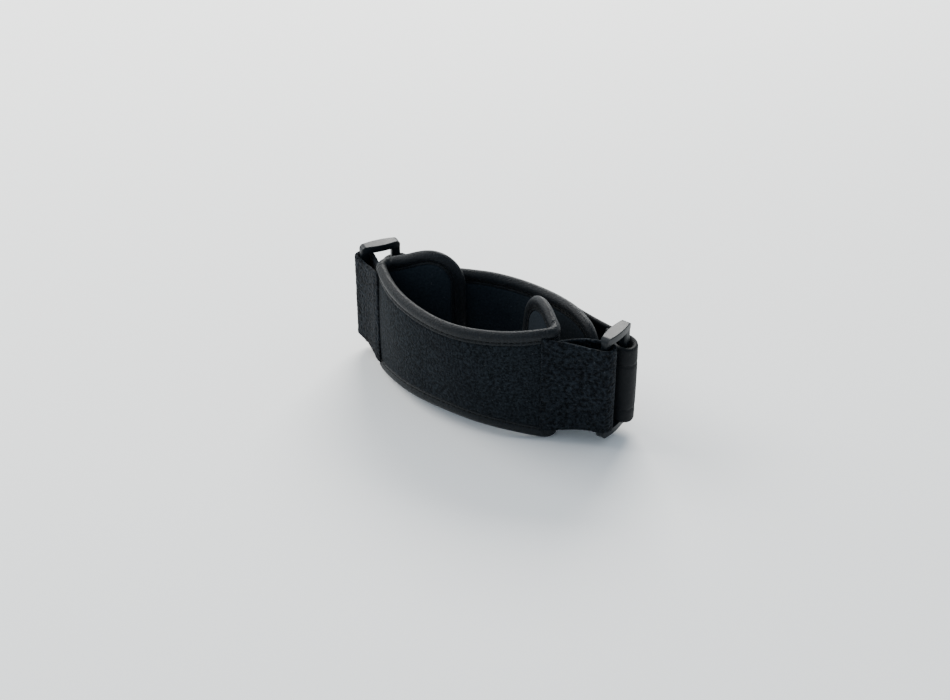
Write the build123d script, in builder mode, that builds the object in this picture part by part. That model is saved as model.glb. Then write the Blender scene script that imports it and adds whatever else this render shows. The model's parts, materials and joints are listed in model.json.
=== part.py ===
"""Two-pad support strap: two curved pads joined into a band by two plastic rings and four straps.

Millimetres, +Z up, the band stands on its lower edges. X runs from ring to ring, the front pad
is on the -Y side. Every wall is upright, so each piece is a plan shape with a height profile.
"""
import os
from math import acos, atan2, cos, degrees, hypot, radians, sin, tan

from build123d import *

# ---------------------------------------------------------------- driving dimensions
pad_thickness = 5.0
skin_thickness = 0.9        # outer cover, lining and binding tape
binding_width = 7.0         # tape seen on each face of a pad's edge
core_edge = 1.2             # tape and turned edge outside the foam
layout_shift = (3.49, -1.68)  # puts the band's box centre on the origin

front_center = (-4.7, 60.9)  # centre of the front pad's bend
front_radius = 90.0          # its outer face
front_left_end = -39.5       # degrees from the -Y direction
front_right_end = 33.5
front_mid_low, front_mid_high = 6.0, 61.0
front_end_low, front_end_high = 0.0, 67.0
fold_radius = 7.0            # outer face of the folds
left_fold_turn = 123.5
right_fold_turn = 111.5

left_flap_length, right_flap_length = 40.0, 36.5
flap_low_rise = 17.0         # the flaps' edges climb towards their tips
left_flap_high_rise, right_flap_high_rise = 25.0, 19.0
left_flap_corner, right_flap_corner = 18.0, 22.0
left_flap_lean, right_flap_lean = 1.0, 8.0   # tip edges against upright, further out below
hinge_gap = 0.3              # between a fold and its flap

back_to_front = 0.8111       # the back pad's bend against the front pad's
back_radius = back_to_front * front_radius
back_aside, back_ahead = 0.103, 1.0313   # its centre from the rings, as shares of its radius
back_left_end = -19.0        # degrees from the +Y direction
back_right_end = 30.0
back_mid_low, back_mid_high = 6.0, 61.0
back_left_low, back_left_high = 3.0, 61.5
back_right_low, back_right_high = 1.5, 62.0
back_left_length, back_right_length = 39.5, 20.4
back_left_corner, back_right_corner = 22.0, 15.0
back_left_low_rise, back_left_high_rise = -9.0, -1.0
back_right_rise = -5.0

ring_spacing = 17.5          # between the two bar centres
ring_height = 61.0
ring_low = 4.0
ring_corner = 3.0
ring_rim = 0.5
bar_width, bar_depth = 5.0, 4.0
bar_round = 1.2
end_bar_height = 3.75
end_bar_middle, end_bar_tip = 7.0, 4.0
right_bar_offset = (29.99, 7.91)   # the ring's front bar from the fold beside it
right_ring_angle = 87.0      # plan direction from the front bar to the back bar
left_bar_offset = (-23.31, 9.15)
left_ring_angle = 56.0

strap_width = 50.0           # pull straps at the rings
strap_width_at_pad = 56.0
strap_thickness = 2.0
inner_taper_start = 12.0     # from the bar, where a pull strap begins to widen
tab_taper_start = 6.0
bar_clearance = 0.2          # from a bar's squared corner to its strap
tail_overlap = 2.5           # tab end lying on the pad's face
tab_gap = 0.3
hook_length = 14.0
hook_thickness = 0.7
peel_wrap = 67.0             # degrees of the fold that turn with the tab
inner_root_angle = -5.0      # where a pull strap leaves the fold's outer face
inner_start_angle = 48.0     # plan slope of a pull strap there
fold_lining = 0.6            # part of the wrap that stays; the tab's own layer turns over it
turning_gap = 0.2
hook_back = 0.5              # the hook patch ends before the tab's tail
hook_margin = 2.0            # and inside its edges
lining_clear = 6.0           # degrees between the tab's start and the layer under it

anchor_low, anchor_high = 8.2, 53.4          # back straps at the rings
anchor_pad_low, anchor_pad_high = 9.5, 57.5  # and on the back pad
anchor_layer = 2.8
anchor_bar_radius = 4.4      # inside of the loop round the bar
anchor_neck = 15.0           # from where the loop begins to where its end is sewn on
anchor_sewn = 8.0            # length lying on the pad
anchor_right_root, anchor_left_root = 75.0, 105.0   # bearings where they leave the pad
sewing_gap = 0.05

mid_height = ring_low + ring_height / 2
reach_past = 60.0            # how far cutting profiles run past what they cut
UP = Vector(0, 0, 1)
tall = 120.0


# ---------------------------------------------------------------- plan helpers
def shift(point, by):
    return (point[0] + by[0], point[1] + by[1])


def halfway(start, end):
    return ((start[0] + end[0]) / 2, (start[1] + end[1]) / 2)


def polar(center, radius, angle):
    return (center[0] + radius * cos(radians(angle)), center[1] + radius * sin(radians(angle)))


front = shift(front_center, layout_shift)

# the folds' centres and the polar angles where each pad face ends
main_right = -90 + front_right_end
main_left = -90 + front_left_end
right_fold = polar(front, front_radius - fold_radius, main_right)
left_fold = polar(front, front_radius - fold_radius, main_left)
right_flap_normal = main_right + right_fold_turn
left_flap_normal = main_left - left_fold_turn
right_front_bar = shift(right_fold, right_bar_offset)
left_front_bar = shift(left_fold, left_bar_offset)
right_back_bar = polar(right_front_bar, ring_spacing, right_ring_angle)
left_back_bar = polar(left_front_bar, ring_spacing, left_ring_angle)
back = shift(halfway(left_back_bar, right_back_bar),
             (back_aside * back_radius, 2 * fold_radius - back_ahead * back_radius))
back_right_normal = 90 - back_right_end
back_left_normal = 90 - back_left_end

strap_inner = hypot(bar_width / 2, bar_depth / 2) + bar_clearance
strap_middle = strap_inner + strap_thickness / 2
strap_outer = strap_inner + strap_thickness


def front_plan(outer, inner):
    """Plan of the front pad between two depths under its outer face, with both folds."""
    face = front_radius - outer
    under = front_radius - inner
    span = main_right - main_left
    with BuildSketch() as plan:
        with BuildLine():
            CenterArc(front, face, main_left, span)
            CenterArc(right_fold, fold_radius - outer, main_right, right_fold_turn)
            Line(polar(right_fold, fold_radius - outer, right_flap_normal),
                 polar(right_fold, fold_radius - inner, right_flap_normal))
            CenterArc(right_fold, fold_radius - inner, right_flap_normal, -right_fold_turn)
            CenterArc(front, under, main_right, -span)
            CenterArc(left_fold, fold_radius - inner, main_left, -left_fold_turn)
            Line(polar(left_fold, fold_radius - inner, left_flap_normal),
                 polar(left_fold, fold_radius - outer, left_flap_normal))
            CenterArc(left_fold, fold_radius - outer, left_flap_normal, left_fold_turn)
        make_face()
    return plan.sketch


def back_plan(outer, inner):
    """Plan of the back pad's curved part between two depths under its outer face."""
    span = back_left_normal - back_right_normal
    with BuildSketch() as plan:
        with BuildLine():
            CenterArc(back, back_radius - outer, back_right_normal, span)
            Line(polar(back, back_radius - outer, back_left_normal),
                 polar(back, back_radius - inner, back_left_normal))
            CenterArc(back, back_radius - inner, back_left_normal, -span)
            Line(polar(back, back_radius - inner, back_right_normal),
                 polar(back, back_radius - outer, back_right_normal))
        make_face()
    return plan.sketch


def waisted_profile(left, right, inset):
    """Side view of a pad's middle: left and right are (x, low, high) and the waist is between."""
    (x0, low0, high0), (x1, low1, high1), (waist_x, waist_low, waist_high) = left, right[:3], right[3]
    far = reach_past
    with BuildSketch(Plane.XZ) as profile:
        with BuildLine():
            Line((x0 - far, low0 + inset), (x0, low0 + inset))
            ThreePointArc((x0, low0 + inset), (waist_x, waist_low + inset), (x1, low1 + inset))
            Line((x1, low1 + inset), (x1 + far, low1 + inset))
            Line((x1 + far, low1 + inset), (x1 + far, high1 - inset))
            Line((x1 + far, high1 - inset), (x1, high1 - inset))
            ThreePointArc((x1, high1 - inset), (waist_x, waist_high - inset), (x0, high0 - inset))
            Line((x0, high0 - inset), (x0 - far, high0 - inset))
            Line((x0 - far, high0 - inset), (x0 - far, low0 + inset))
        make_face()
    return profile.sketch


def meet(point, slope, other, other_slope):
    """Where a line through point at slope degrees crosses a second line."""
    dx, dy = cos(radians(slope)), sin(radians(slope))
    ex, ey = cos(radians(other_slope)), sin(radians(other_slope))
    along = ((other[0] - point[0]) * ey - (other[1] - point[1]) * ex) / (dx * ey - dy * ex)
    return (point[0] + along * dx, point[1] + along * dy)


def lobe_outline(shape, inset, start):
    """Rounded end of a pad, seen square on: start is where it leaves the rest of the pad."""
    low, high, low_slope, high_slope, length, corner, lean = shape
    axis = (low_slope + high_slope) / 2
    low_point = (-inset * sin(radians(low_slope)), low + inset * cos(radians(low_slope)))
    high_point = (inset * sin(radians(high_slope)), high - inset * cos(radians(high_slope)))
    tip = (length - inset * cos(radians(lean)),
           (low + high) / 2 + length * tan(radians(axis)) - inset * sin(radians(lean)))
    with BuildSketch() as outline:
        with BuildLine():
            Polyline(meet(low_point, low_slope, (start, 0), 90),
                     meet(low_point, low_slope, tip, lean + 90),
                     meet(high_point, high_slope, tip, lean + 90),
                     meet(high_point, high_slope, (start, 0), 90), close=True)
        make_face()
        fillet(outline.vertices().sort_by(Axis.X)[-2:], corner - inset)
    return outline.sketch


def lobe_slab(foot, heading, normal, shape, depths, inset, start):
    """A flat rounded slab: foot is on the outer face, normal is that face's outward direction."""
    run = Vector(cos(radians(heading)), sin(radians(heading)), 0)
    side = run.cross(UP)
    outward = Vector(cos(radians(normal)), sin(radians(normal)), 0)
    inward = -1 if side.dot(outward) > 0 else 1
    plane = Plane(origin=(foot[0], foot[1], 0), x_dir=run, z_dir=side)
    outer, inner = depths
    with BuildPart() as slab:
        with BuildSketch(plane.offset(inward * outer)):
            add(lobe_outline(shape, inset, start))
        extrude(amount=inward * (inner - outer))
    return slab.part


def upright(plan, profile=None):
    """A wall over a plan shape, cut to a height profile."""
    with BuildPart() as wall:
        with BuildSketch(Plane.XY.offset(-tall / 2)):
            add(plan)
        extrude(amount=2 * tall)
        if profile is not None:
            with BuildSketch(Plane.XZ):
                add(profile)
            extrude(amount=2 * tall, both=True, mode=Mode.INTERSECT)
    return wall.part


def finish(part, name):
    part.label = name
    export_step(part, f"parts/{name}.step")


layers = {
    "outer_cover": (0.0, skin_thickness, binding_width),
    "foam_core": (skin_thickness, pad_thickness - skin_thickness, core_edge),
    "inner_lining": (pad_thickness - skin_thickness, pad_thickness, binding_width),
}


def write_pad(prefix, solid_for):
    """Write a pad's layers and the tape bound round its edge; solid_for(depths, inset) makes one."""
    inside = []
    for layer, (outer, inner, inset) in layers.items():
        with BuildPart() as sheet:
            add(solid_for((outer, inner), inset))
        inside.append(sheet.part)
        finish(sheet.part, f"{prefix}_{layer}")
    with BuildPart() as binding:
        add(solid_for((0.0, pad_thickness), 0.0))
        for piece in inside:
            add(piece, mode=Mode.SUBTRACT)
    finish(binding.part, f"{prefix}_edge_binding")


# ---------------------------------------------------------------- front pad and its two flaps
def front_middle(depths, inset):
    left = (polar(front, front_radius, main_left)[0], front_end_low, front_end_high)
    right = (polar(front, front_radius, main_right)[0], front_end_low, front_end_high,
             ((left[0] + polar(front, front_radius, main_right)[0]) / 2,
              front_mid_low, front_mid_high))
    return upright(front_plan(*depths), waisted_profile(left, right, inset))


left_flap_shape = (front_end_low, front_end_high, flap_low_rise, left_flap_high_rise,
                   left_flap_length, left_flap_corner, left_flap_lean)
right_flap_shape = (front_end_low, front_end_high, flap_low_rise, right_flap_high_rise,
                    right_flap_length, right_flap_corner, right_flap_lean)


def left_flap(depths, inset):
    foot = polar(left_fold, fold_radius, left_flap_normal)
    return lobe_slab(foot, left_flap_normal - 90, left_flap_normal, left_flap_shape, depths,
                     inset, hinge_gap)


def right_flap(depths, inset):
    foot = polar(right_fold, fold_radius, right_flap_normal)
    return lobe_slab(foot, right_flap_normal + 90, right_flap_normal, right_flap_shape, depths,
                     inset, hinge_gap)


# ---------------------------------------------------------------- back pad
back_left_foot = polar(back, back_radius, back_left_normal)
back_right_foot = polar(back, back_radius, back_right_normal)
back_left_shape = (back_left_low, back_left_high, back_left_low_rise, back_left_high_rise,
                   back_left_length, back_left_corner,
                   (back_left_low_rise + back_left_high_rise) / 2)
back_right_shape = (back_right_low, back_right_high, back_right_rise, back_right_rise,
                    back_right_length, back_right_corner, back_right_rise)


def back_whole(depths, inset):
    left = (back_left_foot[0], back_left_low, back_left_high)
    right = (back_right_foot[0], back_right_low, back_right_high,
             ((back_left_foot[0] + back_right_foot[0]) / 2, back_mid_low, back_mid_high))
    with BuildPart() as whole:
        add(upright(back_plan(*depths), waisted_profile(left, right, inset)))
        add(lobe_slab(back_left_foot, back_left_normal + 90, back_left_normal, back_left_shape,
                      depths, inset, 0.0))
        add(lobe_slab(back_right_foot, back_right_normal - 90, back_right_normal,
                      back_right_shape, depths, inset, 0.0))
    return whole.part


# ---------------------------------------------------------------- rings
def write_ring(name, bar, angle):
    """Moulded rectangular ring: two upright bars and two end bars that are lens-shaped in plan."""
    run = Vector(cos(radians(angle)), sin(radians(angle)), 0)
    base = Plane(origin=(bar[0], bar[1], ring_low), x_dir=run, z_dir=UP)
    end, middle = bar_width / 2, end_bar_middle / 2
    tip = end_bar_tip / 2
    with BuildPart() as ring:
        for level in (0, ring_height - end_bar_height):
            with BuildSketch(base.offset(level)) as lens:
                with BuildLine():
                    ThreePointArc((-end, tip), (ring_spacing / 2, middle),
                                  (ring_spacing + end, tip))
                    Line((ring_spacing + end, tip), (ring_spacing + end, -tip))
                    ThreePointArc((ring_spacing + end, -tip), (ring_spacing / 2, -middle),
                                  (-end, -tip))
                    Line((-end, -tip), (-end, tip))
                make_face()
                fillet(lens.vertices(), bar_round)
            extrude(amount=end_bar_height)
        with BuildSketch(base):
            with Locations((0, 0), (ring_spacing, 0)):
                RectangleRounded(bar_width, bar_depth, bar_round)
        extrude(amount=ring_height)
        for rim in (ring.edges().group_by(Axis.Z)[-1], ring.edges().group_by(Axis.Z)[0]):
            fillet(rim, ring_rim)
        face = Plane(origin=base.from_local_coords((ring_spacing / 2, 0, ring_height / 2)),
                     x_dir=run, z_dir=run.cross(UP))
        with BuildSketch(face):
            RectangleRounded(ring_spacing + bar_width, ring_height, ring_corner)
        extrude(amount=ring_spacing, both=True, mode=Mode.INTERSECT)
    finish(ring.part, name)


# ---------------------------------------------------------------- straps
def taper(x_ring, at_ring, x_pad, at_pad):
    """Side view of a strap whose (low, high) edges change between the ring and the pad."""
    away = reach_past if x_ring > x_pad else -reach_past
    with BuildSketch(Plane.XZ) as profile:
        with BuildLine():
            Polyline((x_ring + away, at_ring[0]), (x_ring, at_ring[0]), (x_pad, at_pad[0]),
                     (x_pad - away, at_pad[0]), (x_pad - away, at_pad[1]), (x_pad, at_pad[1]),
                     (x_ring, at_ring[1]), (x_ring + away, at_ring[1]), close=True)
        make_face()
    return profile.sketch


def band(width):
    """Low and high edge of a strap centred on the rings."""
    return (mid_height - width / 2, mid_height + width / 2)


def bearing(start, end):
    return degrees(atan2(end[1] - start[1], end[0] - start[0]))


def turn(start, end):
    """Signed smallest turn between two directions in degrees."""
    return (end - start + 180) % 360 - 180


def sector(center, inner, outer, start, size):
    """Plan of a ring sector."""
    with BuildSketch() as plan:
        with BuildLine():
            CenterArc(center, outer, start, size)
            Line(polar(center, outer, start + size), polar(center, inner, start + size))
            CenterArc(center, inner, start + size, -size)
            Line(polar(center, inner, start), polar(center, outer, start))
        make_face()
    return plan.sketch


def bend_to_bar(point, heading, bar, reach, side, passes_inside):
    """Arc from point, starting along heading, that runs smoothly onto a circle round a bar.

    Returns the arc's centre, its radius and the bearing from the bar to where they touch.
    """
    across = heading - 90 * side
    nx, ny = cos(radians(across)), sin(radians(across))
    wx, wy = point[0] - bar[0], point[1] - bar[1]
    square = wx * wx + wy * wy - reach * reach
    lean = wx * nx + wy * ny
    radius = -square / (2 * (lean + reach)) if passes_inside else square / (2 * (reach - lean))
    middle = (point[0] + radius * nx, point[1] + radius * ny)
    touch = bearing(middle, bar) if passes_inside else bearing(bar, middle)
    return middle, radius, touch


tab_thickness = strap_thickness - fold_lining - turning_gap


def write_pull_strap(prefix, side, bar, fold, face_angle):
    """Pull strap from the pad's fold round the ring's bar, its peeling tab and the hook patch."""
    heading = face_angle + 90 * side
    tab_level = front_radius + tab_gap + hook_thickness + tab_thickness / 2
    lift = polar(front, tab_level, face_angle)
    tab_reach = strap_outer - tab_thickness / 2
    center, radius, touch = bend_to_bar(lift, heading, bar, tab_reach, side, False)
    start = bearing(center, lift)
    sweep = turn(start, bearing(center, bar))
    tail_angle = degrees(tail_overlap / front_radius)
    with BuildSketch() as tab_plan:
        add(sector(center, radius - tab_thickness / 2, radius + tab_thickness / 2, start, sweep))
        add(sector(bar, tab_reach - tab_thickness / 2, strap_outer, touch, side * peel_wrap))
        add(sector(front, tab_level - tab_thickness / 2, tab_level + tab_thickness / 2,
                   face_angle, -side * tail_angle))
    profile = taper(bar[0] - side * tab_taper_start, band(strap_width), lift[0],
                    band(strap_width_at_pad))
    with BuildPart() as tab:
        add(upright(tab_plan.sketch, profile))
    finish(tab.part, f"{prefix}_pull_tab")

    hook_level = front_radius + tab_gap
    hook_angle = degrees((tail_overlap - hook_back) / front_radius)
    hook_sweep = degrees((hook_length - tail_overlap) / radius) * (1 if sweep > 0 else -1)
    hook_inner = radius + tab_thickness / 2
    with BuildSketch() as hook_plan:
        add(sector(front, hook_level, hook_level + hook_thickness, face_angle,
                   -side * hook_angle))
        add(sector(center, hook_inner, hook_inner + hook_thickness, start, hook_sweep))
    hook_profile = taper(bar[0] - side * tab_taper_start, band(strap_width - 2 * hook_margin),
                         lift[0], band(strap_width_at_pad - 2 * hook_margin))
    with BuildPart() as hook:
        add(upright(hook_plan.sketch, hook_profile))
    finish(hook.part, f"{prefix}_hook_patch")

    root_angle = inner_root_angle if side > 0 else 180 - inner_root_angle
    root = polar(fold, fold_radius - strap_thickness / 2, root_angle)
    slope = inner_start_angle if side > 0 else 180 - inner_start_angle
    middle, bend, leave = bend_to_bar(root, slope, bar, strap_middle, side, True)
    first = bearing(middle, root)
    last = bearing(middle, bar)
    with BuildSketch() as strap_plan:
        add(sector(middle, bend - strap_thickness / 2, bend + strap_thickness / 2, first,
                   turn(first, last)))
        add(sector(bar, strap_inner, strap_inner + fold_lining, touch + side * lining_clear,
                   side * ((side * (leave - touch)) % 360 - lining_clear)))
        with Locations(fold):
            Circle(fold_radius, mode=Mode.SUBTRACT)
    inner_profile = taper(bar[0] - side * inner_taper_start, band(strap_width), lift[0],
                          band(strap_width_at_pad))
    with BuildPart() as strap:
        add(upright(strap_plan.sketch, inner_profile))
    finish(strap.part, f"{prefix}_pull_strap")


def write_anchor_strap(prefix, side, bar, root_bearing):
    """Back strap: sewn on the back pad, round the ring's back bar and sewn to itself."""
    reach = anchor_bar_radius + anchor_layer / 2
    level = back_radius + sewing_gap + anchor_layer / 2
    half = anchor_layer / 2
    root = polar(back, level, root_bearing)
    center, radius, touch = bend_to_bar(root, root_bearing + 90 * side, bar, reach, side, False)
    start, end = bearing(center, root), bearing(center, bar)
    sweep = turn(start, end)
    neck = polar(center, radius, end - degrees(anchor_neck / radius) * (1 if sweep > 0 else -1))
    neck_distance = hypot(neck[0] - bar[0], neck[1] - bar[1])
    inner_touch = bearing(bar, neck) - side * degrees(acos(reach / neck_distance))
    with BuildSketch() as plan:
        add(sector(back, level - half, level + half, root_bearing,
                   -side * degrees(anchor_sewn / level)))
        add(sector(center, radius - half, radius + half, start, sweep))
        add(sector(bar, reach - half, reach + half, touch,
                   side * ((side * (inner_touch - touch)) % 360)))
        with BuildLine():
            Line(polar(bar, reach, inner_touch), neck)
        trace(line_width=anchor_layer)
    profile = taper(bar[0], (anchor_low, anchor_high), root[0],
                    (anchor_pad_low, anchor_pad_high))
    with BuildPart() as strap:
        add(upright(plan.sketch, profile))
    finish(strap.part, f"{prefix}_anchor_strap")


# ---------------------------------------------------------------- build
os.makedirs("parts", exist_ok=True)
write_pad("front", front_middle)
write_pad("left_flap", left_flap)
write_pad("right_flap", right_flap)
write_pad("back", back_whole)
write_ring("left_ring", left_front_bar, left_ring_angle)
write_ring("right_ring", right_front_bar, right_ring_angle)
write_pull_strap("left", -1, left_front_bar, left_fold, main_left)
write_pull_strap("right", 1, right_front_bar, right_fold, main_right)

write_anchor_strap("left", 1, left_back_bar, anchor_left_root)
write_anchor_strap("right", -1, right_back_bar, anchor_right_root)
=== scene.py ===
"""Padded two-part support strap: fabric pads, bound edges, pile straps and satin rings."""
import json
from collections import namedtuple
from math import acos, cos, degrees, log, pi, radians, sin, tan

import bmesh
import bpy
import numpy as np
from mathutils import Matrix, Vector, noise


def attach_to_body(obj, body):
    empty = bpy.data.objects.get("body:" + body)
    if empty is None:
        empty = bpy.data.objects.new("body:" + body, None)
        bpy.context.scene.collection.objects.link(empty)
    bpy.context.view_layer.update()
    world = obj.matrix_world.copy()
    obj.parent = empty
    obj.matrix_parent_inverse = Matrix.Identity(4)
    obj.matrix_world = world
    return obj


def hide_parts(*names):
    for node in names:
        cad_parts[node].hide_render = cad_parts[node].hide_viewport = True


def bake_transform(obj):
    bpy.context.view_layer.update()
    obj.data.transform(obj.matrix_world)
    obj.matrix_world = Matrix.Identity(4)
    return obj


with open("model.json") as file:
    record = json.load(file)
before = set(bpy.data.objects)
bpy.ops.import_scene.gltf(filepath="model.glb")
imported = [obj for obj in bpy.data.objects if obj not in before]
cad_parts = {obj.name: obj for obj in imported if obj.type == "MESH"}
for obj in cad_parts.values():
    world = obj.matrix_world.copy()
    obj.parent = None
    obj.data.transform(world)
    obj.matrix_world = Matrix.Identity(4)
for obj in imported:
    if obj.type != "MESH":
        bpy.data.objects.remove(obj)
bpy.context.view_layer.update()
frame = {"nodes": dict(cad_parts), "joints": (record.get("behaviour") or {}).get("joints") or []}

MM = 0.001
pivots = {j["name"]: np.array(j["pos_m"][:2]) / MM for j in frame["joints"] if "pos_m" in j}
left_front_bar = pivots["left_ring_pivot"]
right_front_bar = pivots["right_ring_pivot"]
left_back_bar = pivots["back_pad_swing"]
left_fold = pivots["left_flap_fold"]
right_fold = pivots["right_flap_fold"]


def unit(angle):
    """Plan direction at an angle in degrees."""
    return np.array([cos(radians(angle)), sin(radians(angle))])


# ---------------------------------------------------------------- sizes in millimetres
thickness = 5.0
front_radius, fold_radius = 90.0, 7.0
main_left, main_right = -129.5, -56.5      # bearings of the front pad's ends from its centre
left_fold_turn, right_fold_turn = 123.5, 111.5
front_center = right_fold - (front_radius - fold_radius) * unit(main_right)
back_radius = 73.0
back_right_normal, back_left_normal = 60.0, 109.0
back_center_offset = (7.52, -61.29)        # from halfway between the rings' back bars
ring_spacing, right_ring_angle = 17.5, 87.0
right_back_bar = right_front_bar + ring_spacing * unit(right_ring_angle)
mid_height = 34.5                          # of the rings and the straps
flap_reach = 60.0                          # straight run past each pad's curved part

# bound edges and their thread
cover_inset, body_inset = 6.9, 2.6         # from the pad's edge to the cloth under the tape
stitch_inset, stitch_pitch, stitch_length = 5.75, 3.2, 2.2
thread_radius = 0.2
sheet_rows, tip_steps = 44, 8              # faces up a pad's cloth and across a lobe's tip

# pull straps, wide at the ring and at the pad
strap_thickness, strap_inner_radius, strap_lift = 2.0, 3.4, 0.2
tab_width_ring, tab_width_pad = 50.0, 56.0
inner_width_ring, inner_width_pad = 50.0, 48.0
tab_tail = 2.5                             # end of the tab lying on the pad's face
hook_reach, hook_thickness, hook_margin = 14.0, 0.6, 2.0

# back straps
loop_radius, back_strap_thickness = 4.4, 2.8
back_strap_neck, back_strap_sewn = 15.0, 8.0
back_strap_low, back_strap_high = 8.2, 53.4
high_row, low_row = 10.5, 8.0              # sewn channels, in from the two edges
station_step = 0.7                         # between the stations along a strap


def bearing(start, end):
    """Plan angle in degrees of the way from start to end."""
    return degrees(np.arctan2(end[1] - start[1], end[0] - start[0]))


def turn(start, end):
    """Smallest signed turn between two angles."""
    return (end - start + 180) % 360 - 180


# ---------------------------------------------------------------- plan paths
class Path:
    """A plan line of straights and arcs that always has the inside of the band on its left."""

    def __init__(self, start, heading, runs):
        self.runs = []
        point, along = np.array(start, float), 0.0
        for radius, amount in runs:
            length = amount if radius == 0 else abs(radius * radians(amount))
            self.runs.append((along, length, point.copy(), heading, radius, amount))
            if radius == 0:
                point = point + amount * unit(heading)
            else:
                side = 1 if amount > 0 else -1
                center = point + radius * unit(heading + 90 * side)
                point = center + radius * unit(heading - 90 * side + amount)
                heading = heading + amount
            along += length
        self.length = along

    def at(self, distance):
        """Points and left-hand normals at an array of distances; the ends run on straight."""
        distance = np.asarray(distance, float)
        points = np.zeros(distance.shape + (2,))
        normals = np.zeros_like(points)
        last = len(self.runs) - 1
        for i, (along, length, start, heading, radius, amount) in enumerate(self.runs):
            here = np.ones(distance.shape, bool)
            if i > 0:
                here &= distance >= along
            if i < last:
                here &= distance < along + length
            t = distance[here] - along
            if radius == 0:
                points[here] = start + t[:, None] * unit(heading)
                normals[here] = unit(heading + 90)
            else:
                side = 1 if amount > 0 else -1
                center = start + radius * unit(heading + 90 * side)
                angle = np.radians(heading - 90 * side) + side * t / radius
                spoke = np.stack([np.cos(angle), np.sin(angle)], -1)
                points[here] = center + radius * spoke
                normals[here] = -side * spoke
        return points, normals


left_foot = left_fold + fold_radius * unit(main_left - left_fold_turn)
left_flap_heading = main_left - left_fold_turn + 90
front_path = Path(left_foot - flap_reach * unit(left_flap_heading), left_flap_heading,
                  [(0, flap_reach), (fold_radius, left_fold_turn),
                   (front_radius, main_right - main_left), (fold_radius, right_fold_turn),
                   (0, flap_reach)])
front_main_start = flap_reach + fold_radius * radians(left_fold_turn)
front_main_end = front_main_start + front_radius * radians(main_right - main_left)
front_right_foot = front_main_end + fold_radius * radians(right_fold_turn)

back_center = (left_back_bar + right_back_bar) / 2 + np.array(back_center_offset)
back_start = back_center + back_radius * unit(back_right_normal)
back_heading = back_right_normal + 90
back_path = Path(back_start - flap_reach * unit(back_heading), back_heading,
                 [(0, flap_reach), (back_radius, back_left_normal - back_right_normal),
                  (0, flap_reach)])
back_main_end = flap_reach + back_radius * radians(back_left_normal - back_right_normal)


# ---------------------------------------------------------------- pad outlines
# a pad's rounded end: its two heights where it starts, the slopes of its edges, its length, the
# radius of its corners and the lean of its tip
Lobe = namedtuple("Lobe", "low high low_slope high_slope length corner lean")


class Outline:
    """A pad laid flat: bottom and top edge points for each column, for any inset from the edge.

    The middle is waisted and each end is a Lobe.
    """

    def __init__(self, start_lobe, end_lobe, stops, counts, waist):
        self.lobes = (start_lobe, end_lobe)
        self.waist = waist
        grow = np.linspace(0, 1, lobe_columns + 1)[1:]
        self.fans = 1 - (1 - grow) ** 2
        middle = [np.linspace(a, b, n + 1)[:-1] for a, b, n in zip(stops, stops[1:], counts)]
        self.middle = np.append(np.concatenate(middle), stops[-1])
        self.cuts = lobe_columns + np.concatenate([[0], np.cumsum(counts)])
        self.count = 2 * lobe_columns + len(self.middle)

    def columns(self, part):
        """First and last column of a named part of the pad."""
        return {"whole": (0, self.count - 1), "start": (0, self.cuts[1]),
                "middle": (self.cuts[1], self.cuts[-2]),
                "end": (self.cuts[-2], self.count - 1)}[part]

    def lobe(self, shape, inset):
        """Bottom and top edge points of a lobe that grows along +x from its foot at x = 0."""
        low, high, low_slope, high_slope, length, corner, lean = shape
        low_run, high_run, facing = unit(low_slope), unit(high_slope), unit(lean)
        tip = np.array([length, (low + high) / 2
                        + length * tan(radians((low_slope + high_slope) / 2))]) - inset * facing
        points, reaches = [], []
        for foot, run, lift in ((low, low_run, inset), (high, high_run, -inset)):
            start = np.array([0, foot + lift / run[0]])
            reach = (tip - start) @ facing / (run @ facing)
            reaches.append(reach)
            points.append(start + self.fans[:, None] * reach * run)
        bottoms, tops = points
        across = tops - bottoms
        across /= np.linalg.norm(across, axis=1)[:, None]
        angles = (90 + low_slope - lean, 90 - high_slope + lean)
        for line, reach, angle, side in zip(points, reaches, angles, (1, -1)):
            half = radians(angle / 2)
            cut = max(corner - inset, 1.0) / tan(half)
            bulge = (1 / sin(half) - 1) * tan(half) / (2 * cos(half))
            power = log(2) / -log(1 - bulge)
            left = np.clip(reach * (1 - self.fans) / cut, 0, 1)
            short = cut * (1 - (1 - (1 - left) ** power) ** (1 / power))
            line += side * short[:, None] * across
        return bottoms, tops

    def edges(self, inset):
        """(bottoms, tops): arrays of (distance along the path, height), one row per column."""
        low0, high0 = self.lobes[0].low, self.lobes[0].high
        low1, high1 = self.lobes[1].low, self.lobes[1].high
        s = self.middle
        waist_start, waist_end, waist_low, waist_high = self.waist
        share = np.clip((s - waist_start) / (waist_end - waist_start), 0, 1)
        bow = 4 * share * (1 - share)
        low = low0 + (low1 - low0) * share
        high = high0 + (high1 - high0) * share
        low = low + bow * (waist_low - (low0 + low1) / 2) + inset
        high = high + bow * (waist_high - (high0 + high1) / 2) - inset
        b0, t0 = self.lobe(self.lobes[0], inset)
        b1, t1 = self.lobe(self.lobes[1], inset)
        mirror = np.array([-1, 1])
        bottoms = np.vstack([(b0 * mirror + [s[0], 0])[::-1],
                             np.stack([s, low], -1), b1 + [s[-1], 0]])
        tops = np.vstack([(t0 * mirror + [s[0], 0])[::-1],
                          np.stack([s, high], -1), t1 + [s[-1], 0]])
        return self.smooth(bottoms), self.smooth(tops)

    def smooth(self, points):
        """Soften the kinks where a lobe leaves the middle."""
        for _ in range(30):
            z = points[:, 1]
            z[8:-8] += 0.25 * (z[7:-9] - 2 * z[8:-8] + z[9:-7])
        return points


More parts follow.
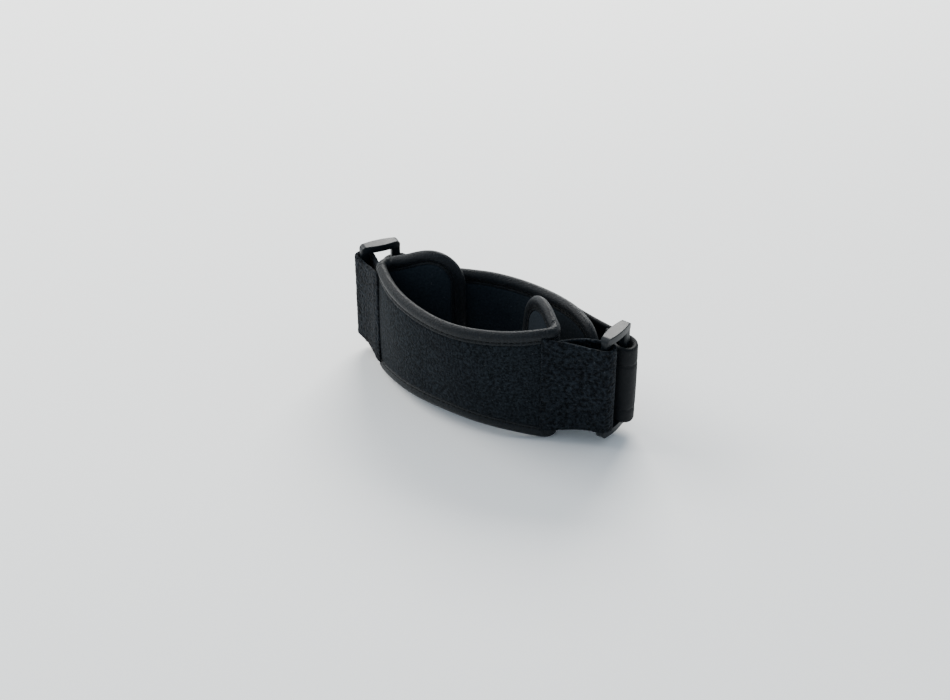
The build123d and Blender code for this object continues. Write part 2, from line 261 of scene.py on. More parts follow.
class Pad:
    """Maps a flat outline onto its plan path at a depth under the outer face."""

    def __init__(self, path, outline, wobble):
        self.path = path
        self.outline = outline
        self.wobble = wobble

    def place(self, flat, depth):
        """flat is (..., 2) of distance and height; depth under the outer face, in millimetres."""
        points, normals = self.path.at(flat[..., 0])
        z = flat[..., 1]
        lean = self.wobble(flat[..., 0], z)
        xy = points + normals * (depth + lean)[..., None]
        return np.concatenate([xy, z[..., None]], -1)


def front_wobble(s, z):
    """The flaps bow outwards, more so at the top, and the middle ripples a little."""
    left = np.clip((flap_reach - s) / bow_length, 0, 1)
    right = np.clip((s - front_right_foot) / bow_length, 0, 1)
    bow = left_bow * np.sin(pi * left) + right_bow * np.sin(pi * right)
    middle = np.clip((s - front_main_start) / (front_main_end - front_main_start), 0, 1)
    ripple = 0.25 * np.sin(2 * pi * middle * 2.3 + 0.05 * z) * np.sin(pi * middle)
    return -0.5 * bow * (0.4 + 0.6 * np.clip(z / 70, 0, 1)) + ripple


def back_wobble(s, z):
    """The back pad ripples a little along its length."""
    middle = np.clip((s - 40) / 120, 0, 1)
    return 0.3 * np.sin(2 * pi * middle * 1.7 + 0.04 * z + 1.0)


waist_low, waist_high = 6.0, 61.0
lobe_columns = 52
bow_length, left_bow, right_bow = 45.0, 0.7, 2.6
left_flap_lobe = Lobe(0.0, 67.0, 17.0, 25.0, 40.0, 18.0, 1.0)
right_flap_lobe = Lobe(0.0, 67.0, 17.0, 19.0, 36.5, 22.0, 8.0)
back_right_lobe = Lobe(1.5, 62.0, -5.0, -5.0, 20.4, 15.0, -5.0)
back_left_lobe = Lobe(3.0, 61.5, -9.0, -1.0, 39.5, 22.0, -5.0)

front_outline = Outline(left_flap_lobe, right_flap_lobe,
                        (flap_reach, front_main_start, front_main_end, front_right_foot),
                        (26, 110, 24), (front_main_start, front_main_end, waist_low, waist_high))
back_outline = Outline(back_right_lobe, back_left_lobe, (flap_reach, back_main_end), (90,),
                       (flap_reach, back_main_end, waist_low, waist_high))
front_pad = Pad(front_path, front_outline, front_wobble)
back_pad = Pad(back_path, back_outline, back_wobble)


# ---------------------------------------------------------------- mesh helpers
def distances(line):
    """How far along a line each of its points is."""
    return np.append(0, np.cumsum(np.linalg.norm(np.diff(line, axis=0), axis=1)))


def left_normals(line):
    """Unit left-hand normals of a plan line."""
    tangent = np.gradient(line, axis=0)
    tangent /= np.linalg.norm(tangent, axis=1)[:, None]
    return np.stack([-tangent[:, 1], tangent[:, 0]], -1)


def new_object(name, vertices, faces, material, flat_faces=()):
    """A smooth-shaded mesh object from points in millimetres."""
    mesh = bpy.data.meshes.new(name)
    mesh.from_pydata([tuple(v) for v in np.asarray(vertices) * MM], [], faces)
    for polygon in mesh.polygons:
        polygon.use_smooth = True
    for index in flat_faces:
        mesh.polygons[index].use_smooth = False
    work = bmesh.new()
    work.from_mesh(mesh)
    bmesh.ops.recalc_face_normals(work, faces=work.faces)
    work.to_mesh(mesh)
    work.free()
    obj = bpy.data.objects.new(name, mesh)
    bpy.context.scene.collection.objects.link(obj)
    mesh.materials.append(material)
    return obj


def tube_faces(rings, size, closed, base=0):
    """Quads between rings of size points; closed joins the last ring to the first, else caps."""
    faces = []
    for r in range(rings if closed else rings - 1):
        a, b = base + r * size, base + ((r + 1) % rings) * size
        faces += [(a + i, a + (i + 1) % size, b + (i + 1) % size, b + i) for i in range(size)]
    if not closed:
        faces.append(tuple(base + i for i in range(size))[::-1])
        faces.append(tuple(base + (rings - 1) * size + i for i in range(size)))
    return faces


def tape_section():
    """The bound edge across: (inset, depth) round the folded tape, first outside then inside."""
    outside = [(7.3, 0.45), (7.15, 0.12), (6.9, 0.0), (6.3, 0.14), (5.75, 0.62), (5.3, 0.2),
               (4.7, -0.14), (3.9, -0.30), (3.0, -0.28), (2.1, -0.02), (1.35, 0.45),
               (0.7, 1.05), (0.22, 1.75)]
    face = outside + [(0.0, thickness / 2)]
    face += [(inset, thickness - depth) for inset, depth in outside[::-1]]
    lining = [(7.3, thickness - 0.9), (4.5, thickness - 1.1), (2.4, thickness - 1.4),
              (1.6, thickness / 2), (2.4, 1.4), (4.5, 1.1), (7.3, 0.9)]
    return face + lining


def edge_runs(outline, part):
    """The runs of a pad's edge that belong to one part: (kind, first column, last column)."""
    low, high = outline.columns(part)
    kinds = {"whole": ["loop"], "start": ["start"], "end": ["end"], "middle": ["bottom", "top"]}
    return [(kind, low, high) for kind in kinds[part]]


def edge_points(pad, run, insets):
    """For each inset, the flat points along a run of the edge: array (stations, insets, 2)."""
    kind, low, high = run
    columns = []
    for inset in insets:
        bottoms, tops = pad.outline.edges(inset)

        def tip(column, downwards):
            share = np.linspace(0, 1, tip_steps + 1)[1:-1, None]
            if downwards:
                return tops[column] + share * (bottoms[column] - tops[column])
            return bottoms[column] + share * (tops[column] - bottoms[column])

        if kind == "loop":
            points = [bottoms[low:high + 1], tip(high, False), tops[low:high + 1][::-1],
                      tip(low, True)]
        elif kind == "start":
            points = [tops[low:high + 1][::-1], tip(low, True), bottoms[low:high + 1]]
        elif kind == "end":
            points = [bottoms[low:high + 1], tip(high, False), tops[low:high + 1][::-1]]
        elif kind == "bottom":
            points = [bottoms[low:high + 1]]
        else:
            points = [tops[low:high + 1]]
        columns.append(np.vstack(points))
    return np.stack(columns, 1)


def make_binding(name, pad, part, material):
    """The tape folded over a pad's edge, swept round every run of it."""
    section = tape_section()
    insets = [s[0] for s in section]
    depths = np.array([s[1] for s in section])
    vertices, faces = [], []
    for run in edge_runs(pad.outline, part):
        flat = edge_points(pad, run, insets)
        placed = pad.place(flat, np.broadcast_to(depths, flat.shape[:2]).copy())
        faces += tube_faces(len(flat), len(section), run[0] == "loop", len(vertices))
        vertices += list(placed.reshape(-1, 3))
    return new_object(name, vertices, faces, material)


def make_sheet(name, pad, part, inset, rows, face_depth, under_depth, material):
    """A closed sheet inside the bound edge: depth functions of distance to its own edge."""
    low, high = pad.outline.columns(part)
    bottoms, tops = pad.outline.edges(inset)
    share = (1 - np.cos(np.linspace(0, pi, rows + 1))) / 2
    share = 0.35 * share + 0.65 * np.linspace(0, 1, rows + 1)
    flat = bottoms[:, None] + share[None, :, None] * (tops - bottoms)[:, None]
    border = np.vstack([bottoms, tops[::-1], flat[0], flat[-1]])
    distance = np.min(np.linalg.norm(flat[:, :, None] - border[None, None], axis=-1), axis=-1)
    flat, distance = flat[low:high + 1], distance[low:high + 1]
    face = pad.place(flat, face_depth(distance)).reshape(-1, 3)
    under = pad.place(flat, under_depth(distance)).reshape(-1, 3)
    n, m = flat.shape[:2]
    index = np.arange(n * m).reshape(n, m)
    quads = np.stack([index[:-1, :-1], index[1:, :-1], index[1:, 1:], index[:-1, 1:]], -1)
    faces = [tuple(q) for q in quads.reshape(-1, 4)]
    shift = n * m
    faces += [tuple(int(i) + shift for i in q[::-1]) for q in quads.reshape(-1, 4)]
    rim = list(index[:, 0]) + list(index[-1, 1:]) + list(index[:-1, -1][::-1]) \
        + list(index[0, 1:-1][::-1])
    for i, a in enumerate(rim):
        b = rim[(i + 1) % len(rim)]
        faces.append((int(a), int(b), int(b) + shift, int(a) + shift))
    return new_object(name, np.vstack([face, under]), faces, material)


def cover_depth(distance):
    """The cover's face dips under the tape, then crowns gently."""
    rise = np.clip((distance - 0.15) / 1.3, 0, 1)
    crown = np.clip(distance / 22, 0, 1)
    return 0.62 - 0.50 * rise * (2 - rise) - 0.45 * crown * (2 - crown)


def cover_under(distance):
    """The cover's back is level."""
    return np.full_like(distance, 0.92)


def body_face(distance):
    """The foam's face fills up to the cover's back."""
    rise = np.clip(distance / 4.4, 0, 1)
    return 1.5 - 0.55 * rise


def body_lining(distance):
    """The lining's face comes out from between the tapes and puffs up a little."""
    step = np.clip((distance - 4.2) / 0.8, 0, 1)
    crown = np.clip((distance - 4.6) / 18, 0, 1)
    start = 3.5 + 0.3 * np.clip(distance / 4.2, 0, 1)
    return start + (4.72 - start) * step * step * (3 - 2 * step) + 0.5 * crown * (2 - crown)


def make_stitches(name, pad, part, material):
    """Thread that shows as short dashes on both faces of a bound edge."""
    vertices, faces = [], []
    for run in edge_runs(pad.outline, part):
        line = edge_points(pad, run, [stitch_inset])[:, 0]
        if run[0] == "loop":
            line = np.vstack([line, line[:1]])
        along = distances(line)
        for start in np.arange(0.6, along[-1] - stitch_length, stitch_pitch):
            here = np.linspace(start, start + stitch_length, 5)
            flat = np.stack([np.interp(here, along, line[:, 0]),
                             np.interp(here, along, line[:, 1])], -1)
            arch = np.array([0.45, 0.12, 0.02, 0.12, 0.45])
            for face in (arch + 0.15, thickness - 0.15 - arch):
                center = pad.place(flat, face)
                vertices, faces = add_thread(vertices, faces, center)
    return new_object(name, vertices, faces, material)


def add_thread(vertices, faces, center, sides=6):
    """One dash of thread: a short tube along five points."""
    tangent = np.gradient(center, axis=0)
    tangent /= np.linalg.norm(tangent, axis=1)[:, None]
    across = np.cross(tangent, [0.31, 0.22, 0.93])
    across /= np.linalg.norm(across, axis=1)[:, None]
    other = np.cross(tangent, across)
    angle = np.linspace(0, 2 * pi, sides, endpoint=False)
    thick = thread_radius * np.array([0.55, 1, 1, 1, 0.55])
    ring = (across[:, None] * np.cos(angle)[None, :, None]
            + other[:, None] * np.sin(angle)[None, :, None])
    points = center[:, None] + ring * thick[:, None, None]
    faces = faces + tube_faces(len(center), sides, False, len(vertices))
    return vertices + list(points.reshape(-1, 3)), faces


# ---------------------------------------------------------------- straps
def arc_points(center, radius, start, sweep, step=station_step):
    """Points along an arc, about one step apart."""
    count = max(int(abs(radius * radians(sweep)) / step), 4)
    angles = np.radians(np.linspace(start, start + sweep, count + 1))
    return center + radius * np.stack([np.cos(angles), np.sin(angles)], -1)


def line_points(start, end):
    """Points along a straight, about one step apart."""
    count = max(int(np.linalg.norm(end - start) / station_step), 2)
    share = np.linspace(0, 1, count + 1)[:, None]
    return start + share * (end - start)


def join_lines(first, *others):
    """One line from several that each start where the one before ends."""
    return np.vstack([first] + [line[1:] for line in others])


def soften(points, rounds):
    """Round a line's corners, with its two ends kept."""
    points = points.copy()
    for _ in range(rounds):
        points[1:-1] += 0.25 * (points[:-2] - 2 * points[1:-1] + points[2:])
    return points


def strap_section(rows):
    """A strap cut across, as (offset, share of the two edges, share of the flat part)."""
    inner = np.linspace(0, 1, rows + 1)[1:-1]
    quarter = np.radians([0, 30, 60, 90])
    up = [(cos(a), 1 - sin(a), 0.0) for a in quarter[::-1]] + [(1.0, 1.0, b) for b in inner] \
        + [(cos(a), 1 + sin(a), 1.0) for a in quarter]
    down = [(-offset, a, b) for offset, a, b in up[::-1]][1:-1]
    return np.array(up + down).T


def make_ribbon(name, center, low, high, thick, material, row_step=0.8, relief=None):
    """A strap: a plan centre-line swept upright, with soft edges, between two height lines."""
    normal = left_normals(center)
    count = len(center)
    low, high, thick = (np.broadcast_to(np.asarray(v, float), (count,))[:, None] for v in
                        (low, high, thick))
    edge = 0.42 * thick
    offset, edges, flat = strap_section(max(int((high - low).max() / row_step), 8))
    height = low + edge * edges + (high - low - 2 * edge) * flat
    side = offset * thick / 2
    points = np.concatenate([center[:, None] + normal[:, None] * side[..., None],
                             height[..., None]], -1)
    if relief is not None:
        lift = relief(points, low, high) * offset
        points[..., :2] += normal[:, None] * lift[..., None]
    faces = tube_faces(count, len(offset), False)
    caps = (len(faces) - 2, len(faces) - 1)
    return new_object(name, points.reshape(-1, 3), faces, material, caps)


def bend_to_bar(point, heading, bar, reach, side, passes_inside):
    """Arc from point along heading that runs onto a circle round a bar: centre, radius, bearing."""
    across = unit(heading - 90 * side)
    away = point - bar
    square = away @ away - reach * reach
    lean = away @ across
    radius = -square / (2 * (lean + reach)) if passes_inside else square / (2 * (reach - lean))
    middle = point + radius * across
    return middle, radius, bearing(middle, bar) if passes_inside else bearing(bar, middle)


def strap_heights(center, ring_x, pad_x, at_ring, at_pad):
    """The strap's two edges along its centre-line, from its width at the ring to that at the pad."""
    share = np.clip((center[:, 0] - ring_x) / (pad_x - ring_x), 0, 1)
    half = (at_ring + (at_pad - at_ring) * share) / 2
    return mid_height - half, mid_height + half


def pile_relief(points, *edges):
    """Matted loops: small uneven bumps, the same from edge to edge."""
    places = [Vector(p) for p in points.reshape(-1, 3)]
    bumps = [0.26 * noise.noise(p * 0.55) + 0.12 * noise.noise(p * 1.4) for p in places]
    return np.array(bumps).reshape(points.shape[:2])


def sewn_relief(points, low, high):
    """Two stitched channels, with the cloth between them slightly full."""
    z = points[..., 2]
    groove = sum(np.exp(-((z - row) / 0.9) ** 2) for row in (high - high_row, low + low_row))
    share = (z - low) / (high - low)
    return 0.25 * np.sin(pi * np.clip(share, 0, 1)) - 0.38 * groove


# ---------------------------------------------------------------- procedural finishes
def socket(tree, name, kind, into):
    return tree.interface.new_socket(name=name, in_out="INPUT" if into else "OUTPUT",
                                     socket_type=kind)


def link(tree, start, end):
    tree.links.new(start, end)


def math_node(tree, operation, *values):
    """One operation on numbers or other nodes' outputs."""
    node = tree.nodes.new("ShaderNodeMath")
    node.operation = operation
    for slot_in, value in zip(node.inputs, values):
        if isinstance(value, (int, float)):
            slot_in.default_value = value
        else:
            link(tree, value, slot_in)
    return node.outputs[0]


def noise_node(tree, vector, scale, detail=2.0, roughness=0.5):
    node = tree.nodes.new("ShaderNodeTexNoise")
    node.inputs["Scale"].default_value = scale
    node.inputs["Detail"].default_value = detail
    node.inputs["Roughness"].default_value = roughness
    link(tree, vector, node.inputs["Vector"])
    return node.outputs["Fac"]


def span(tree, value, low, high, to_low, to_high):
    node = tree.nodes.new("ShaderNodeMapRange")
    for name, number in (("From Min", low), ("From Max", high), ("To Min", to_low),
                         ("To Max", to_high)):
        node.inputs[name].default_value = number
    link(tree, value, node.inputs["Value"])
    return node.outputs["Result"]


def new_group(name, inputs, outputs):
    """A node group that the finishes share, with its input and output nodes."""
    group = bpy.data.node_groups.new(name, "ShaderNodeTree")
    for label, kind, default in inputs:
        made = socket(group, label, kind, True)
        if default is not None:
            made.default_value = default
    for label, kind in outputs:
        socket(group, label, kind, False)
    return group, group.nodes.new("NodeGroupInput"), group.nodes.new("NodeGroupOutput")


def build_weave_group():
    """Fine threads crossing at right angles, in the object's own space."""
    group, inp, out = new_group(
        "threads", [("Vector", "NodeSocketVector", None), ("Pitch", "NodeSocketFloat", 0.0006)],
        [("Height", "NodeSocketFloat")])
    parts = group.nodes.new("ShaderNodeSeparateXYZ")
    link(group, inp.outputs["Vector"], parts.inputs[0])
    turns = math_node(group, "DIVIDE", 2 * pi, inp.outputs["Pitch"])
    sideways = math_node(group, "ADD", parts.outputs["X"], parts.outputs["Y"])
    across = math_node(group, "SINE", math_node(group, "MULTIPLY", sideways, turns))
    upward = math_node(group, "SINE", math_node(group, "MULTIPLY", parts.outputs["Z"], turns))
    link(group, span(group, math_node(group, "MULTIPLY", across, upward), -1, 1, 0, 1),
         out.inputs["Height"])
    return group


def build_nap_group():
    """Brushed nap: matted fibres at several sizes, as a height and a shade mask."""
    group, inp, out = new_group(
        "nap", [("Vector", "NodeSocketVector", None), ("Size", "NodeSocketFloat", 900.0)],
        [("Height", "NodeSocketFloat"), ("Shade", "NodeSocketFloat")])
    scaled = group.nodes.new("ShaderNodeVectorMath")
    scaled.operation = "SCALE"
    link(group, inp.outputs["Vector"], scaled.inputs[0])
    link(group, inp.outputs["Size"], scaled.inputs["Scale"])
    tufts = noise_node(group, scaled.outputs[0], 1.0, 3.0, 0.55)
    cells = group.nodes.new("ShaderNodeTexVoronoi")
    cells.inputs["Scale"].default_value = 1.3
    link(group, scaled.outputs[0], cells.inputs["Vector"])
    mixed = math_node(group, "ADD", math_node(group, "MULTIPLY", tufts, 0.7),
                      math_node(group, "MULTIPLY", cells.outputs["Distance"], 0.45))
    link(group, mixed, out.inputs["Height"])
    link(group, span(group, tufts, 0.38, 0.66, 0, 1), out.inputs["Shade"])
    return group


def build_wear_group():
    """Broad uneven patches and a little pale lint."""
    group, inp, out = new_group(
        "wear", [("Vector", "NodeSocketVector", None)],
        [("Patches", "NodeSocketFloat"), ("Lint", "NodeSocketFloat")])
    link(group, span(group, noise_node(group, inp.outputs["Vector"], 38.0, 3.0), 0.3, 0.7, 0, 1),
         out.inputs["Patches"])
    specks = noise_node(group, inp.outputs["Vector"], 640.0, 1.0)
    link(group, span(group, specks, 0.735, 0.80, 0, 1), out.inputs["Lint"])
    return group


weave_group = build_weave_group()
nap_group = build_nap_group()
wear_group = build_wear_group()


def add_group(tree, group, vector):
    node = tree.nodes.new("ShaderNodeGroup")
    node.node_tree = group
    link(tree, vector, node.inputs["Vector"])
    return node


def mix_color(tree, share, a, b):
    node = tree.nodes.new("ShaderNodeMix")
    node.data_type = "RGBA"
    factor, first, second = node.inputs[0], node.inputs[6], node.inputs[7]
    link(tree, share, factor)
    for slot_in, value in ((first, a), (second, b)):
        if isinstance(value, tuple):
            slot_in.default_value = value
        else:
            link(tree, value, slot_in)
    return node.outputs[2]


def start_material(name, roughness, specular, sheen=0.0):
    """A new finish: the material, its node tree, its surface node and the object's own space."""
    material = bpy.data.materials.new(name)
    material.use_nodes = True
    tree = material.node_tree
    surface = tree.nodes["Principled BSDF"]
    surface.inputs["Roughness"].default_value = roughness
    surface.inputs["Specular IOR Level"].default_value = specular
    surface.inputs["Sheen Weight"].default_value = sheen
    surface.inputs["Sheen Roughness"].default_value = 0.4
    vector = tree.nodes.new("ShaderNodeTexCoord").outputs["Object"]
    return material, tree, surface, vector


def bump(tree, height, surface, distance):
    node = tree.nodes.new("ShaderNodeBump")
    node.inputs["Distance"].default_value = distance
    node.inputs["Strength"].default_value = 1.0
    link(tree, height, node.inputs["Height"])
    link(tree, node.outputs["Normal"], surface.inputs["Normal"])


def nap_material(name, dark, light, size, depth, sheen, roughness=0.9, specular=0.1):
    """Cloth with a raised surface."""
    material, tree, surface, vector = start_material(name, roughness, specular, sheen)
    nap = add_group(tree, nap_group, vector)
    nap.inputs["Size"].default_value = size
    wear = add_group(tree, wear_group, vector)
    base = mix_color(tree, nap.outputs["Shade"], dark, light)
    patched = mix_color(tree, math_node(tree, "MULTIPLY", wear.outputs["Patches"], 0.35), base,
                        dark)
    lint = math_node(tree, "MULTIPLY", wear.outputs["Lint"], 0.10)
    link(tree, mix_color(tree, lint, patched, (0.3, 0.3, 0.3, 1)), surface.inputs["Base Color"])
    bump(tree, nap.outputs["Height"], surface, depth)
    return material


def woven_material(name, dark, light, pitch, depth, roughness, sheen, specular):
    """Smooth knitted or woven cloth."""
    material, tree, surface, vector = start_material(name, roughness, specular, sheen)
    threads = add_group(tree, weave_group, vector)
    threads.inputs["Pitch"].default_value = pitch
    wear = add_group(tree, wear_group, vector)
    base = mix_color(tree, threads.outputs["Height"], dark, light)
    patched = mix_color(tree, math_node(tree, "MULTIPLY", wear.outputs["Patches"], 0.3), base,
                        dark)
    lint = math_node(tree, "MULTIPLY", wear.outputs["Lint"], 0.05)
    link(tree, mix_color(tree, lint, patched, (0.4, 0.4, 0.4, 1)), surface.inputs["Base Color"])
    slow = noise_node(tree, vector, 130.0, 2.0)
    height = math_node(tree, "ADD", math_node(tree, "MULTIPLY", threads.outputs["Height"], 0.3),
                       math_node(tree, "MULTIPLY", slow, 1.6))
    bump(tree, height, surface, depth)
    return material


def plastic_material(name, color, roughness):
    """Moulded plastic with faint grain and rubbed patches."""
    material, tree, surface, vector = start_material(name, roughness, 0.24)
    wear = add_group(tree, wear_group, vector)
    link(tree, mix_color(tree, wear.outputs["Patches"], color,
                         tuple(1.25 * c for c in color[:3]) + (1,)), surface.inputs["Base Color"])
    link(tree, span(tree, wear.outputs["Patches"], 0, 1, roughness - 0.05, roughness + 0.08),
         surface.inputs["Roughness"])
    bump(tree, noise_node(tree, vector, 900.0, 3.0), surface, 0.00004)
    return material


brushed = nap_material("brushed_cover", (0.0012, 0.0024, 0.0036, 1), (0.0155, 0.0205, 0.0255, 1),
                       740.0, 0.0009, 0.03)
pile = nap_material("strap_pile", (0.0004, 0.0011, 0.002, 1), (0.015, 0.020, 0.026, 1), 540.0,
                    0.0017, 0.03)
tape = nap_material("binding_tape", (0.0008, 0.0017, 0.0027, 1), (0.0075, 0.0105, 0.0138, 1),
                    1150.0, 0.00035, 0.03, 0.5, 0.2)
lining = nap_material("smooth_lining", (0.010, 0.0152, 0.0205, 1), (0.017, 0.0235, 0.030, 1),
                      900.0, 0.0003, 0.03)
webbing = woven_material("back_strap_cloth", (0.0008, 0.0016, 0.0026, 1),
                         (0.0035, 0.005, 0.007, 1), 0.0011, 0.0003, 0.6, 0.02, 0.13)
hooks = woven_material("hook_side", (0.001, 0.002, 0.003, 1), (0.02, 0.026, 0.032, 1), 0.0012,
                       0.0003, 0.5, 0.0, 0.3)
thread = woven_material("thread", (0.0003, 0.0005, 0.0008, 1), (0.0025, 0.0035, 0.0045, 1),
                        0.0004, 0.00005, 0.6, 0.0, 0.2)
plastic = plastic_material("ring_plastic", (0.004, 0.006, 0.008, 1), 0.40)


# ---------------------------------------------------------------- pads
def make_pad(pad, part, prefix, attach):
    """Cover, padded body, bound edge and stitching of one part of a pad."""
    cover = make_sheet(f"{prefix}_cover_cloth", pad, part, cover_inset, sheet_rows, cover_depth,
                       cover_under, brushed)
    body = make_sheet(f"{prefix}_padded_body", pad, part, body_inset, sheet_rows, body_face,
                      body_lining, lining)
    edge = make_binding(f"{prefix}_bound_edge", pad, part, tape)
    dashes = make_stitches(f"{prefix}_edge_stitches", pad, part, thread)
    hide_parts(f"{prefix}_outer_cover")
    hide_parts(f"{prefix}_foam_core", f"{prefix}_inner_lining")
    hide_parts(f"{prefix}_edge_binding")
    for piece in (cover, body, edge, dashes):
        attach(piece)


def ride_on(body):
    """Attach a piece wholly to one body."""
    return lambda piece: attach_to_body(piece, body)


def fold_between():
    """Keep a piece where it stands: its placement is baked into its mesh, with no body to ride on.
    """
    return lambda piece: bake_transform(piece)


make_pad(front_pad, "middle", "front", ride_on("front_pad"))
make_pad(front_pad, "start", "left_flap", fold_between())
make_pad(front_pad, "end", "right_flap", fold_between())
make_pad(back_pad, "whole", "back", ride_on("back_pad"))


# ---------------------------------------------------------------- pull straps
def make_hook_patch(name, line, along, low, high):
    """Thin patch of hooks on the underside of a tab's end."""
    here = (along > 1.0) & (along < hook_reach)
    line = line[here]
    inward = front_center - line
    inward /= np.linalg.norm(inward, axis=1)[:, None]
    lift = strap_thickness / 2 - 0.1
    return make_ribbon(name, line + inward * lift, low[here] + hook_margin,
                       high[here] - hook_margin, hook_thickness, hooks)


def make_pull_strap(prefix, side, bar, fold, face_angle):
    """Strap from the pad's fold round the ring's bar, then its tab pressed on the pad's face."""
    middle_radius = strap_inner_radius + strap_thickness / 2
    level = front_radius + strap_lift + strap_thickness / 2
    lift = front_center + level * unit(face_angle)
    heading = face_angle + 90 * side
    center, radius, touch = bend_to_bar(lift, heading, bar, middle_radius, side, False)
    root = fold + (fold_radius - strap_thickness / 2) * unit(-5 if side > 0 else 185)
    slope = 48 if side > 0 else 132
    inner_center, bend, leave = bend_to_bar(root, slope, bar, middle_radius, side, True)
    wrap = side * ((side * (leave - touch)) % 360)
    tail_turn = side * degrees(tab_tail / level)
    tail = arc_points(front_center, level, face_angle - tail_turn, tail_turn)
    outer = arc_points(center, radius, bearing(center, lift),
                       turn(bearing(center, lift), bearing(center, bar)))
    loop = arc_points(bar, middle_radius, touch, wrap, 0.5)
    line = join_lines(tail, outer, loop)
    low, high = strap_heights(line, bar[0] - side * 6, lift[0], tab_width_ring, tab_width_pad)
    along = distances(line)
    thick = np.interp(along, [0, 0.4, 4.0], [0.7, 1.0, strap_thickness])
    inward = front_center - line
    inward /= np.linalg.norm(inward, axis=1)[:, None]
    line = line + inward * ((strap_thickness - thick) / 2)[:, None]
    tab = make_ribbon(f"{prefix}_tab_pile", line, low, high, thick, pile, 0.7, pile_relief)
    hook = make_hook_patch(f"{prefix}_hook_side", line, along, low, high)
    first = bearing(inner_center, root)
    inner = arc_points(inner_center, bend, first, turn(first, bearing(inner_center, bar)))
    low, high = strap_heights(inner, bar[0] - side * 12, lift[0], inner_width_ring,
                              inner_width_pad)
    strap = make_ribbon(f"{prefix}_strap_pile", inner, low, high, strap_thickness, pile, 0.7,
                        pile_relief)
    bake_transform(tab)
    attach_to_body(strap, "front_pad")
    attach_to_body(hook, f"{prefix}_tab")
    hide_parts(f"{prefix}_hook_patch")
    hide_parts(f"{prefix}_pull_tab")
    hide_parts(f"{prefix}_pull_strap")


make_pull_strap("left", -1, left_front_bar, left_fold, main_left)
make_pull_strap("right", 1, right_front_bar, right_fold, main_right)


# ---------------------------------------------------------------- back straps
def make_anchor_strap(prefix, side, bar, root_bearing):
    """Back strap: sewn along the pad, round the ring's back bar and sewn to its own underside."""
    reach = loop_radius + back_strap_thickness / 2
    level = back_radius + back_strap_thickness / 2 + 0.05
    root = back_center + level * unit(root_bearing)
    center, radius, touch = bend_to_bar(root, root_bearing + 90 * side, bar, reach, side, False)
    start, end = bearing(center, root), bearing(center, bar)
    sweep = turn(start, end)
    neck = center + radius * unit(end - degrees(back_strap_neck / radius) * np.sign(sweep))
    leave = bearing(bar, neck) - side * degrees(acos(reach / np.linalg.norm(neck - bar)))
    closing = bar + reach * unit(leave)
    sewn = degrees(back_strap_sewn / level)
    line = join_lines(arc_points(back_center, level, root_bearing - side * sewn, side * sewn),
                      arc_points(center, radius, start, sweep),
                      arc_points(bar, reach, touch, side * ((side * (leave - touch)) % 360), 0.5),
                      line_points(closing, closing + 0.75 * (neck - closing)))
    line = soften(line, 12)
    along = distances(line)
    thick = np.interp(along, [0, along[-1] - 8, along[-1]],
                      [back_strap_thickness, back_strap_thickness, back_strap_thickness - 1])
    share = np.clip((line[:, 0] - bar[0]) / (root[0] - bar[0]), 0, 1)
    past = np.clip(side * (bar[0] - line[:, 0]) / reach, 0, 1)
    low = back_strap_low + 1.3 * share - 2.0 * past
    high = back_strap_high + 4.1 * share - 1.2 * past
    strap = make_ribbon(f"{prefix}_back_strap", line, low, high, thick, webbing, 0.6, sewn_relief)
    rows = make_strap_rows(f"{prefix}_back_strap_stitches", line, low, high, thick, along)
    for piece in (strap, rows):
        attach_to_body(piece, "back_pad")
    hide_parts(f"{prefix}_anchor_strap")


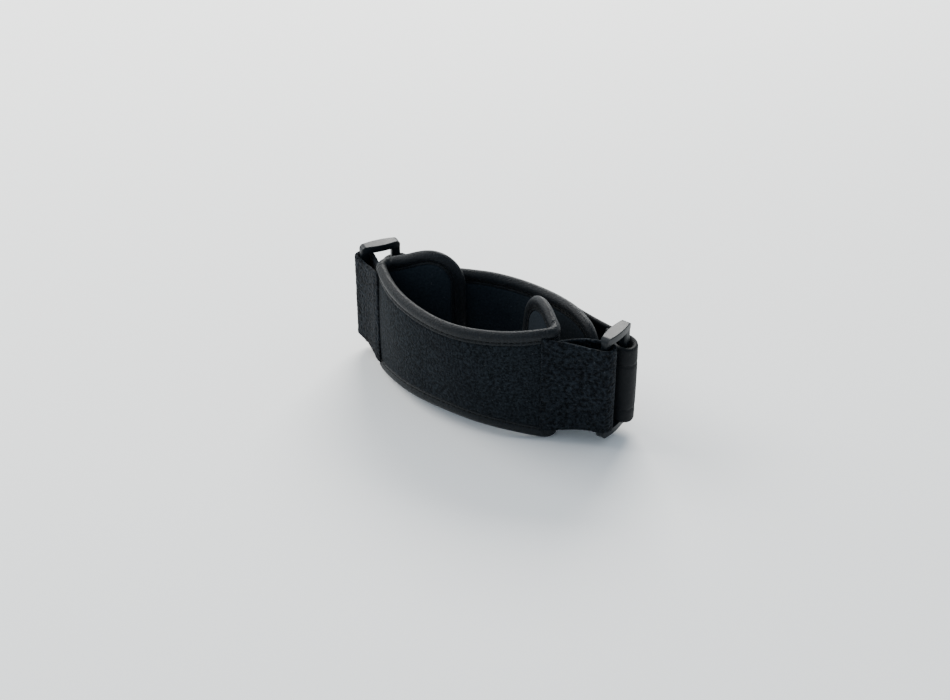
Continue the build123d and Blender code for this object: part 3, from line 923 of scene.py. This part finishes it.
def make_strap_rows(name, line, low, high, thick, along):
    """Two rows of stitching along a back strap, on both of its faces."""
    normal = left_normals(line)
    vertices, faces = [], []
    for edge, lift in ((high, -high_row), (low, low_row)):
        for face in (-1, 1):
            for start in np.arange(1.0, along[-1] - 11, stitch_pitch):
                here = np.linspace(start, start + stitch_length, 5)
                rise = np.array([-0.5, -0.22, -0.14, -0.22, -0.5]) + thick[0] / 2
                at = [np.interp(here, along, v) for v in (line[:, 0], line[:, 1], normal[:, 0],
                                                          normal[:, 1], edge + lift)]
                center = np.stack([at[0] + face * rise * at[2], at[1] + face * rise * at[3],
                                   at[4]], -1)
                vertices, faces = add_thread(vertices, faces, center)
    return new_object(name, vertices, faces, thread)


make_anchor_strap("left", 1, left_back_bar, 105.0)
make_anchor_strap("right", -1, right_back_bar, 75.0)

for ring in ("left_ring", "right_ring"):
    node = frame["nodes"][ring]
    node.data.materials.clear()
    node.data.materials.append(plastic)


# ---------------------------------------------------------------- floor, light and camera
warm = (1.0, 0.985, 0.95)
lit_point = Vector((0, 0, 0.03))


def area_light(name, place, size, power):
    """A warm softbox aimed at the band."""
    data = bpy.data.lights.new(name, "AREA")
    data.shape = "RECTANGLE"
    data.size, data.size_y = size
    data.energy = power
    data.color = warm
    light = bpy.data.objects.new(name, data)
    bpy.context.scene.collection.objects.link(light)
    light.location = Vector(place)
    light.rotation_euler = (lit_point - Vector(place)).to_track_quat("-Z", "Y").to_euler()
    return light


bpy.ops.mesh.primitive_plane_add(size=12)
floor = bpy.context.object
floor.name = "floor"
floor_finish, _, floor_surface, _ = start_material("pale_floor", 0.75, 0.2)
floor_surface.inputs["Base Color"].default_value = (0.94, 0.94, 0.92, 1)
floor.data.materials.append(floor_finish)

world = bpy.data.worlds.new("studio")
world.use_nodes = True
world.node_tree.nodes["Background"].inputs["Color"].default_value = (0.80, 0.93, 1.08, 1)
world.node_tree.nodes["Background"].inputs["Strength"].default_value = 0.70
bpy.context.scene.world = world

area_light("left_softbox", (-1.3, -0.2, 1.0), (1.1, 0.9), 27)
area_light("back_softbox", (-0.55, 1.25, 1.0), (1.0, 0.7), 46)

azimuth, elevation = radians(33.0), radians(34.3)
camera_data = bpy.data.cameras.new("camera")
camera_data.lens = 64.4
camera_data.sensor_width = 36
camera = bpy.data.objects.new("camera", camera_data)
bpy.context.scene.collection.objects.link(camera)
camera.location = Vector((397.9, -618.8, 530.5)) * MM
back_direction = Vector((sin(azimuth) * cos(elevation), -cos(azimuth) * cos(elevation),
                         sin(elevation)))
camera.rotation_euler = (-back_direction).to_track_quat("-Z", "Y").to_euler()
bpy.context.scene.camera = camera
